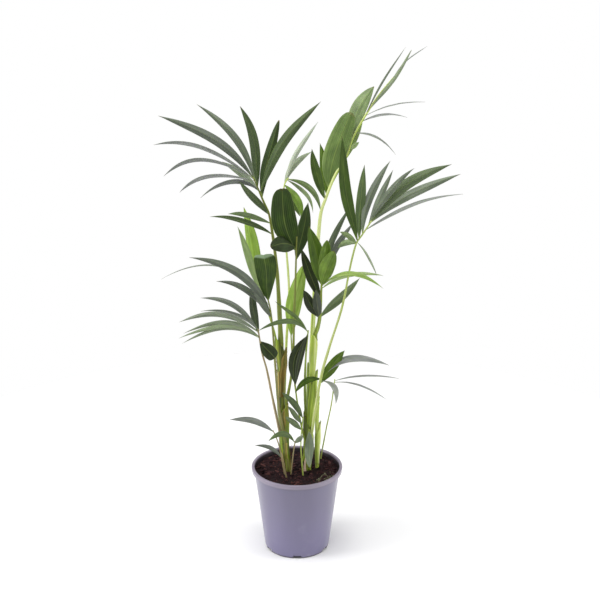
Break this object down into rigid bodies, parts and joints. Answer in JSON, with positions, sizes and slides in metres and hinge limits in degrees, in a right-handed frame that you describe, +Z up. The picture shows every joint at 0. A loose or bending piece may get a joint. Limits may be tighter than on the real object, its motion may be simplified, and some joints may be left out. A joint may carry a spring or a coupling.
{
  "type": "potted palm",
  "caption": "Young kentia palms growing together in a round, tapered plastic nursery pot filled with bark compost, for standing on a floor or a shelf.",
  "frame": {"origin": "centre of the pot's underside, on the flat pad that it stands on", "axes": "+Z up along the pot's axis; -Y is the front of the plant; +X is to the right seen from the front"},
  "size_m": [0.6686, 0.4619, 1.1385],
  "materials": {
    "pot_plastic": "satin moulded plastic, lavender grey",
    "soil": "dark bark compost",
    "dry_husk": "dry and papery, pinkish buff",
    "stem_green": "smooth yellow green with brown fibres",
    "leaf_dark": "waxy dark green leaf",
    "leaf_olive": "waxy olive green leaf",
    "leaf_pale": "waxy pale green leaf"
  },
  "bodies": {
    "root": {"pot": "pot_plastic", "soil": "soil", "husk": "dry_husk", "stem_left": "stem_green", "stem_middle": "stem_green", "stem_right": "stem_green", "stem_rear": "stem_green", "frond_upper_left": "leaf_dark", "frond_centre": "leaf_dark", "frond_lower_left": "leaf_dark", "frond_right": "leaf_dark", "frond_folded_left": "leaf_olive", "frond_inner_left": "leaf_olive", "frond_low_right": "leaf_olive", "frond_low_rear": "leaf_olive", "leaf_folded_low": "leaf_olive", "frond_bright": "leaf_pale", "frond_tall": "leaf_pale", "frond_rear": "leaf_pale", "frond_young_left": "leaf_pale", "leaf_young_centre": "leaf_pale", "seedling_left": "leaf_olive", "seedling_forked": "leaf_olive", "seedling_front": "leaf_olive", "seedling_middle": "leaf_olive"}
  },
  "joints": []
}
